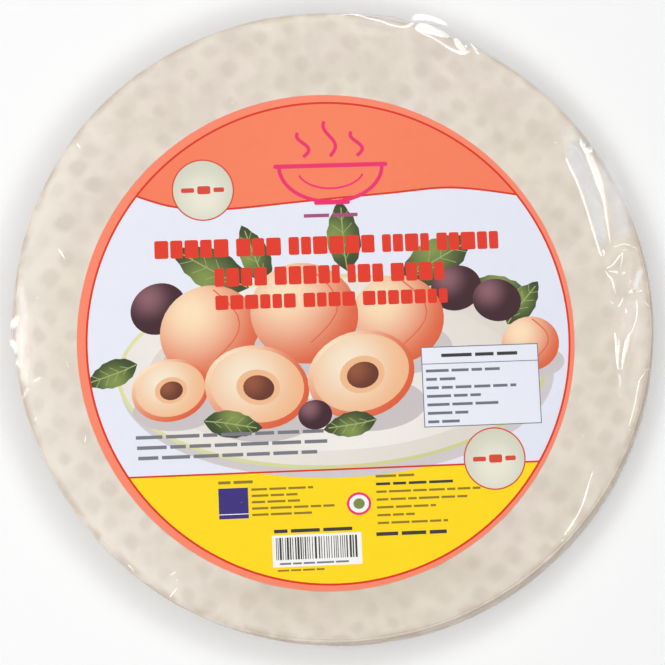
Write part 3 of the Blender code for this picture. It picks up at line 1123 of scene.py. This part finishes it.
def lay_emblem(card, x, y):
    """A plain bowl with three curls over it, drawn as a line."""
    def arc(middle_y, half_width, half_height, start, stop, count):
        ways = np.linspace(math.pi * start, math.pi * stop, count)
        return [(x + half_width * math.cos(a), middle_y + half_height * math.sin(a)) for a in ways]

    card.lay("emblem", stroke(arc(y - 3, 23, 16, 1, 2, 25), 1.7), 0.4)
    card.lay("emblem", rounded_box(x - 25.5, y - 2.6, 51, 2.0, 0.8), 0.4)
    card.lay("emblem", rounded_box(x - 8, y - 19.4, 16, 1.8, 0.8), 0.6)
    card.lay("emblem", stroke(arc(y - 4, 15, 9, 1.1, 1.9, 17), 0.9), 0.2)
    for shift, tall in ((-12, 11), (0, 16), (12, 11)):
        ways = np.linspace(0, 1, 17)
        curl = [(x + shift + 2.6 * math.sin(t * 5.4), y + 1.5 + tall * t) for t in ways]
        card.lay("emblem", stroke(curl, 1.6), 0.5)


def lay_words(card, ink, x, y, length, height, rng, spread=(2.0, 5.5)):
    """A line of small print as plain bars of word length."""
    stop = x + length
    while x < stop - height:
        word = min(rng.uniform(*spread) * height * 0.9, stop - x)
        card.lay(ink, box(x, y, word, height * 0.5), 0.5)
        x += word + height * 0.5


def lay_title(card, x, y, length, height, blocks, rng):
    """A bold line as words of plain blocks, between 0.85 mm gaps."""
    gap, space = 0.85, 3.4
    words = [[rng.uniform(0.7, 1.2) for _ in range(count)] for count in blocks]
    total = sum(map(sum, words))
    gaps = gap * (sum(blocks) - len(blocks)) + space * (len(blocks) - 1)
    unit = (length - gaps) / total
    for word in words:
        for share in word:
            card.lay("title_red", rounded_box(x, y, share * unit, height, 0.8), 0.5)
            x += share * unit + gap
        x += space - gap


def lay_panel(card, rng):
    """The white panel with its header and rows."""
    left, top, wide, tall = 40.9, -4.9, 52.4, 35.6
    card.lay("panel_line", box(left, top - tall / 2, wide, tall))
    inside = box(left + 0.4, top - tall / 2, wide - 0.8, tall - 0.8)
    card.lay("panel", inside, lambda x, y: clamp((x - 40) / 60))
    card.lay("panel_line", box(left, top - 7.6, wide, 0.35))
    lay_words(card, "dark", left + 9, top - 4, 34, 3.0, rng)
    for i, length in enumerate((33, 13, 40, 24, 32, 18, 14)):
        lay_words(card, "panel_line", left + 1.8, top - 10.7 - 3.75 * i, length, 2.5, rng)


def lay_foot_print(card, rng):
    """What is printed on the yellow field: a square, a white panel of stripes, and small lines."""
    lay_words(card, "small_brown", -50.5, -61.2, 15, 2.6, rng)
    card.lay("violet", box(-50.6, -70.3, 12.9, 13.3))
    round_line = ellipse(-44.2, -70.0, 3.8, 3.8, 0, 24)
    card.lay("paper", stroke(round_line + round_line[:1], 1.0))
    card.lay("paper", box(-50.6, -75.0, 12.9, 0.35))
    for i, length in enumerate((27, 20, 21, 36, 26)):
        lay_words(card, "small_brown", -36.2, -64.6 - 2.75 * i, length, 2.0, rng)
    lay_words(card, "dark", -27.0, -83.2, 37, 3.0, rng)
    card.lay("paper", box(-28, -91.8, 39, 13.8))
    x = -26.4
    while x < 8.6:
        wide = rng.choice((0.35, 0.35, 0.6, 0.9))
        card.lay("dark", box(x, -90.8, wide, 9.6))
        x += wide + rng.choice((0.4, 0.55, 0.8))
    lay_words(card, "small_grey", -25, -97.3, 32, 1.6, rng)
    lay_words(card, "small_brown", -26, -100.2, 22, 1.6, rng)
    for ink, wide, tall, sides in (("emblem", 5.4, 5.0, 24), ("paper", 4.3, 3.9, 24), ("leaf", 2.5, 2.3, 20)):
        card.rounded(ink, 10.6, -72.6, wide, tall, 0, 0.2, sides, 1)
    rows = (("small_brown", 17, 2.2), ("dark", 36, 2.4), ("small_brown", 46, 2.0), ("small_brown", 40, 2.0),
            ("small_brown", 26, 2.0), ("small_brown", 19, 2.0), ("small_brown", 31, 2.0))
    for i, (ink, length, height) in enumerate(rows):
        lay_words(card, ink, 18.4, -61.0 - 3.4 * i, length, height, rng)
    lay_words(card, "dark", 17.6, -86.2, 31, 3.2, rng, (3.0, 4.0))


def lay_small_lines(card, rng):
    for i, length in enumerate((82, 83, 78)):
        lay_words(card, "small_grey", -85.6 + 0.4 * i, -40.2 - 4.5 * i, length, 3.1, rng)


def design_print():
    """The whole print, from the lowest shape to the highest."""
    card = Print()
    rng = random.Random(400)
    wave = lay_fields(card)
    lay_picture(card)
    lay_lines(card, wave)
    lay_emblem(card, 4.3, 80.5)
    lay_words(card, "small_pink", -8.5, 55.4, 27, 3.2, rng, (3.6, 4.6))
    lay_title(card, -75, 42.1, 153, 8.0, (5, 3, 6, 4, 5), rng)
    lay_title(card, -49, 29.0, 102, 8.2, (4, 5, 3, 4), rng)
    lay_title(card, -49, 17.8, 103, 6.4, (6, 4, 7), rng)
    lay_small_lines(card, rng)
    lay_panel(card, rng)
    lay_foot_print(card, rng)
    lay_badge(card, -52.8, 68.3, 13.8)
    lay_badge(card, 71.4, -55.3, 13.8)
    return card


def card_height(x, y):
    """Height of the card's face, which lies a little uneven on the sheets."""
    wave = noise.noise(Vector((x * 0.02, y * 0.02, 5)))
    wave += 0.4 * noise.noise(Vector((x * 0.06, y * 0.06, 8)))
    return PACK_HEIGHT - CARD_DROP + CARD_WAVE * wave


def cut_print(card):
    """The card's face cut exactly along every edge of its print: points, triangles, inks and tones."""
    outlines = [ellipse(0, 0, CARD_RADIUS / MM, CARD_RADIUS / MM, 0, CARD_SIDES)]
    for radius in (RING_LINE, RING_INSIDE):
        outlines.append(ellipse(*RING_PLACE, radius, radius, 0, CARD_SIDES))
    rings = len(outlines)
    outlines += [outline for _, outline, _ in card.shapes]
    points, loops = [], []
    for outline in outlines:
        loops.append(list(range(len(points), len(points) + len(outline))))
        points += [Vector(point) for point in outline]
    cut = delaunay_2d_cdt(points, [], loops, 1, CUT_TOLERANCE, True)
    flat, triangles, owners = cut[0], cut[2], cut[5]

    kept, inks, tones = [], [], []
    for triangle, owner in zip(triangles, owners):
        if 0 not in owner:
            continue
        if 1 not in owner:
            ink, tone = "ring_coral", 0.3
        elif 2 not in owner:
            ink, tone = "line_red", 0.5
        else:
            ink, _, tone = card.shapes[max(owner) - rings]
        kept.append(tuple(triangle))
        inks.append(ink)
        tones += [tone(*flat[corner]) if callable(tone) else tone for corner in triangle]
    used = sorted({corner for triangle in kept for corner in triangle})
    renamed = {corner: i for i, corner in enumerate(used)}
    faces = [tuple(renamed[corner] for corner in triangle) for triangle in kept]
    return [flat[corner] for corner in used], faces, inks, tones


def make_card(materials):
    """The card as one closed mesh, with the print on its face and plain paper round it and below."""
    flat, faces, inks, tones = cut_print(design_print())
    turn = Matrix.Rotation(PRINT_TURN, 2)
    spots = [turn @ point for point in flat]
    upper = []
    for x, y in spots:
        place = CARD_MIDDLE.xy + Vector((x, y)) * MM
        upper.append(Vector((*place, card_height(x, y))))

    edge = [i for i, point in enumerate(flat) if point.length > CARD_RADIUS / MM - EDGE_TOLERANCE]
    edge.sort(key=lambda i: math.atan2(spots[i].y, spots[i].x))
    lower = [upper[i] - Vector((0, 0, CARD_BOARD)) for i in edge]
    start = len(upper)
    for k in range(len(edge)):
        after = (k + 1) % len(edge)
        faces.append((edge[k], start + k, start + after, edge[after]))
    faces.append(tuple(start + k for k in reversed(range(len(edge)))))
    inks += ["paper"] * (len(faces) - len(inks))

    mesh = bpy.data.meshes.new("card")
    mesh.from_pydata(upper + lower, [], faces)
    slots = {}
    for ink in INKS:
        slots[ink] = len(mesh.materials)
        mesh.materials.append(materials[ink])
    mesh.polygons.foreach_set("material_index", [slots[ink] for ink in inks])
    tones += [0.0] * (len(mesh.loops) - len(tones))
    mesh.attributes.new("tone", "FLOAT", "CORNER").data.foreach_set("value", tones)
    return linked("card", mesh)


# Materials

def new_material(name):
    material = bpy.data.materials.new(name)
    material.use_nodes = True
    material.node_tree.nodes.clear()
    return material, Nodes(material.node_tree)


def fibre_group():
    """Fine uneven fibre, as in paper and dried starch: a factor round 1 and a height."""
    inputs = (("Grain Size", "Float", 0.8 * MM), ("Contrast", "Float", 0.05))
    tree = new_tree("Fine fibre", "ShaderNodeTree", inputs, (("Factor", "Float"), ("Height", "Float")))
    n = Nodes(tree)
    given = n.add("NodeGroupInput").outputs
    place = n.add("ShaderNodeTexCoord").outputs["Object"]
    scale = n.maths("DIVIDE", 1.0, given["Grain Size"])
    fine = n.noise(place, scale, 4.0, Roughness=0.6)
    broad = n.noise(place, n.maths("DIVIDE", scale, 14.0), 3.0)
    both = n.maths("ADD", n.maths("MULTIPLY", fine, 0.6), n.maths("MULTIPLY", broad, 0.4))
    swing = n.maths("MULTIPLY", n.maths("SUBTRACT", both, 0.5), n.maths("MULTIPLY", given["Contrast"], 4.0))
    n.add("NodeGroupOutput", {"Factor": n.maths("ADD", 1.0, swing), "Height": both})
    return tree


def fibre(n, group, grain, contrast):
    made = n.add("ShaderNodeGroup", node_tree=group)
    made.inputs["Grain Size"].default_value = grain
    made.inputs["Contrast"].default_value = contrast
    return made.outputs["Factor"], made.outputs["Height"]


def top_masks(n, place):
    """From 0 to 1 over the top sheet: a painted shadow just below the card, and a painted sheen at the left
    rim.
    """
    spot = n.vectors("SUBTRACT", place, TOP_MIDDLE)
    on_top = n.mapped(n.split(spot)[2], 0.8 * PACK_HEIGHT, 0.9 * PACK_HEIGHT)
    flat = n.vectors("MULTIPLY", spot, (1, 1, 0))
    beyond = n.vectors("LENGTH", n.vectors("SUBTRACT", flat, CARD_PLACE))
    beyond = n.maths("SUBTRACT", beyond, CARD_RADIUS)
    card_shadow = n.maths("MULTIPLY", n.mapped(beyond, 0.0, 18 * MM, 1.0, 0.0), on_top)
    card_shadow = n.maths("MULTIPLY", card_shadow, n.mapped(n.vectors("DOT_PRODUCT", flat, CARD_SHADOW_WAY), 103 * MM, 114 * MM))
    pale = n.maths("MULTIPLY", n.mapped(n.vectors("LENGTH", flat), 112 * MM, 138 * MM), on_top)
    pale = n.maths("MULTIPLY", pale, n.mapped(n.vectors("DOT_PRODUCT", flat, SHEEN_WAY), 50 * MM, 130 * MM))
    return card_shadow, pale


def rice_sheet_material(group):
    """Dried rice sheet: warm cream, greyer and darker where the mat pressed it, with painted shade at the
    sheets' rims, a painted shadow just below the card and a painted sheen at the left rim.
    """
    material, n = new_material("rice_sheet")
    factor, height = fibre(n, group, 1.6 * MM, 0.035)
    place = n.add("ShaderNodeTexCoord").outputs["Object"]
    cloud = n.mapped(n.noise(place, 75.0, 2.0), 0.36, 0.64)
    tint = n.mapped(n.noise(n.vectors("ADD", place, (0.4, 0.2, 0.1)), 48.0, 2.0), 0.34, 0.66)
    card_shadow, pale = top_masks(n, place)
    # Painted shade at the sheets' rims, broken into patches
    patchy = n.mapped(n.noise(place, 110.0, 2.0), 0.38, 0.62, 0.1, 0.75)
    rim = n.maths("MULTIPLY", n.attribute("rim"), patchy)
    colour = n.blended(tint, srgb(*PINK_CREAM), srgb(*YELLOW_CREAM))
    for share, mask, tone in (
        (0.7, cloud, CLOUD_CREAM),
        # painted sheen at the left rim
        (0.42, pale, SHEEN_CREAM),
        (0.42, n.attribute("spot"), SPOT_CREAM),
        # painted shade at the sheets' rims
        (1.0, rim, RIM_SHADE_CREAM),
        # painted shadow of the card, just below it
        (0.5, card_shadow, CARD_SHADOW_CREAM),
    ):
        colour = n.blended(n.maths("MULTIPLY", mask, share), colour, srgb(*tone))
    colour = n.scaled(colour, factor)
    bump = n.add("ShaderNodeBump", {"Height": height, "Strength": 0.25, "Distance": 0.3 * MM})
    shader = n.add("ShaderNodeBsdfPrincipled", {"Base Color": colour, "Normal": bump.outputs[0]})
    shader.inputs["Roughness"].default_value = 0.55
    n.add("ShaderNodeOutputMaterial", {0: shader.outputs[0]})
    return material


def film_material(name, mirror, haze, roughness, haze_and_sheen_colour=(0.9, 0.9, 0.92), strips=True):
    """Thin clear film: see-through, with a mirror that grows at a slant and a trace of haze. Where the haze
    is strong, on the laps and sheens, its colour also paints soft reflections.
    """
    material, n = new_material(name)
    cover = n.attribute("cover") if strips else 1.0
    clear = n.add("ShaderNodeBsdfTransparent")
    clear.inputs["Color"].default_value = (1, 1, 1, 1)
    place = n.add("ShaderNodeTexCoord").outputs["Object"]
    cloud = n.mapped(n.noise(place, 90.0, 2.0), 0.35, 0.65)
    dim = (0.9 * haze_and_sheen_colour[0], 0.9 * haze_and_sheen_colour[1], haze_and_sheen_colour[2], 1)
    haze_and_sheen = n.add("ShaderNodeBsdfDiffuse", {0: n.blended(cloud, (*haze_and_sheen_colour, 1), dim)})
    haze = n.maths("MULTIPLY", haze, cover)
    body = n.add("ShaderNodeMixShader", {0: haze, 1: clear.outputs[0], 2: haze_and_sheen.outputs[0]})
    gloss = n.add("ShaderNodeBsdfAnisotropic")
    gloss.inputs["Roughness"].default_value = roughness
    facing = n.add("ShaderNodeLayerWeight", {"Blend": 0.5}).outputs["Facing"]
    share = n.maths("ADD", mirror, n.maths("MULTIPLY", n.maths("POWER", facing, 5.0), 0.4))
    share = n.maths("MULTIPLY", share, cover)
    mixed = n.add("ShaderNodeMixShader", {0: share, 1: body.outputs[0], 2: gloss.outputs[0]})
    n.add("ShaderNodeOutputMaterial", {0: mixed.outputs[0]})
    return material


def ink_material(name, light, dark, group):
    """One ink on the card's paper, from its light tone to its dark one."""
    material, n = new_material("print_" + name)
    factor, height = fibre(n, group, 0.35 * MM, 0.025)
    colour = n.scaled(n.blended(n.attribute("tone"), srgb(*light), srgb(*dark)), factor)
    bump = n.add("ShaderNodeBump", {"Height": height, "Strength": 0.1, "Distance": 0.1 * MM})
    shader = n.add("ShaderNodeBsdfPrincipled", {"Base Color": colour, "Normal": bump.outputs[0]})
    shader.inputs["Roughness"].default_value = 0.5
    shader.inputs["Specular IOR Level"].default_value = 0.25
    n.add("ShaderNodeOutputMaterial", {0: shader.outputs[0]})
    return material


# Stage

def make_floor():
    """A plain pale table."""
    bpy.ops.mesh.primitive_plane_add(size=6, location=(0, 0, -TABLE_GAP))
    floor = bpy.context.object
    floor.name = "floor"
    material, n = new_material("pale_floor")
    shader = n.add("ShaderNodeBsdfPrincipled")
    shader.inputs["Base Color"].default_value = (0.93, 0.93, 0.93, 1)
    shader.inputs["Roughness"].default_value = 0.9
    n.add("ShaderNodeOutputMaterial", {0: shader.outputs[0]})
    floor.data.materials.append(material)


def make_lights():
    """Softboxes all round, none overhead, so that flat film stays clear and folds glint."""
    flat = math.sin(SOFTBOX_SLANT)
    for i in range(SOFTBOX_COUNT):
        turn = math.tau * i / SOFTBOX_COUNT
        light = bpy.data.lights.new(f"softbox_{i}", "AREA")
        light.shape = "RECTANGLE"
        light.size = SOFTBOX_WIDTH
        light.size_y = SOFTBOX_SIDE
        light.energy = SOFTBOX_WATTS * (1 + BRIGHT_SHARE * math.cos(turn - BRIGHT_SIDE))
        lamp = bpy.data.objects.new(light.name, light)
        away = Vector((math.cos(turn) * flat, math.sin(turn) * flat, math.cos(SOFTBOX_SLANT)))
        lamp.location = away * SOFTBOX_DISTANCE
        lamp.rotation_euler = (-away).to_track_quat("-Z", "Y").to_euler()
        bpy.context.scene.collection.objects.link(lamp)
    world = bpy.data.worlds.new("studio")
    world.use_nodes = True
    sky = world.node_tree.nodes["Background"]
    sky.inputs["Color"].default_value = (1, 0.995, 0.985, 1)
    sky.inputs["Strength"].default_value = 0.08
    bpy.context.scene.world = world
    bpy.context.scene.view_settings.view_transform = "Standard"


def make_camera():
    """The camera almost overhead, leaning towards the pack's lower left."""
    target = TOP_MIDDLE + Vector((0, 0, PACK_HEIGHT / 2))
    camera = bpy.data.cameras.new("camera")
    camera.sensor_width = 36
    camera.lens = FOCAL_PIXELS / IMAGE_SIDE * camera.sensor_width
    camera.shift_x = (IMAGE_SIDE / 2 - TARGET_PIXEL[0]) / IMAGE_SIDE
    camera.shift_y = (TARGET_PIXEL[1] - IMAGE_SIDE / 2) / IMAGE_SIDE
    camera.clip_start = 0.01
    eye = bpy.data.objects.new("camera", camera)
    across = Vector((0, 1, 0)).cross(TO_CAMERA).normalized()
    upright = TO_CAMERA.cross(across)
    turn = Matrix((across, upright, TO_CAMERA)).transposed().to_4x4()
    eye.matrix_world = Matrix.Translation(target + EYE_PLACE) @ turn
    bpy.context.scene.collection.objects.link(eye)
    bpy.context.scene.camera = eye


def main():
    make_camera()
    make_lights()
    make_floor()
    group = fibre_group()
    sheets = make_sheets(sheet_tree(), rice_sheet_material(group))
    film = make_film(film_material("clear_film", 0.045, 0.004, 0.3, strips=False))
    folded = film_material("folded_film", 0.22, 0.05, 0.12)
    # Doubled film: real haze, whose cool blue-grey colour also paints a reflection
    doubled = film_material("doubled_film_and_reflection", 0.03, 0.34, 0.35, (0.67, 0.76, 0.87))
    # Painted sheens: pale hazy strips standing in for the film's soft reflections
    pale = film_material("painted_sheen_film", 0.03, 0.4, 0.35, (0.97, 0.93, 0.9))
    folds = make_folds(folded)
    laps = make_laps("film_laps", LAPS, doubled)
    sheens = make_laps("film_sheens", SHEENS, pale)
    foot_folds = make_foot_folds(folded)
    card = make_card({name: ink_material(name, *tones, group) for name, tones in INKS.items()})

    for piece in (*sheets, film, folds, laps, sheens, foot_folds):
        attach(piece, "root")
    for piece in (film, folds, laps, sheens, foot_folds):
        piece.visible_shadow = False
    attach(card, "root")
    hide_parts("sealed_pack")
    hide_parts("printed_card")


main()
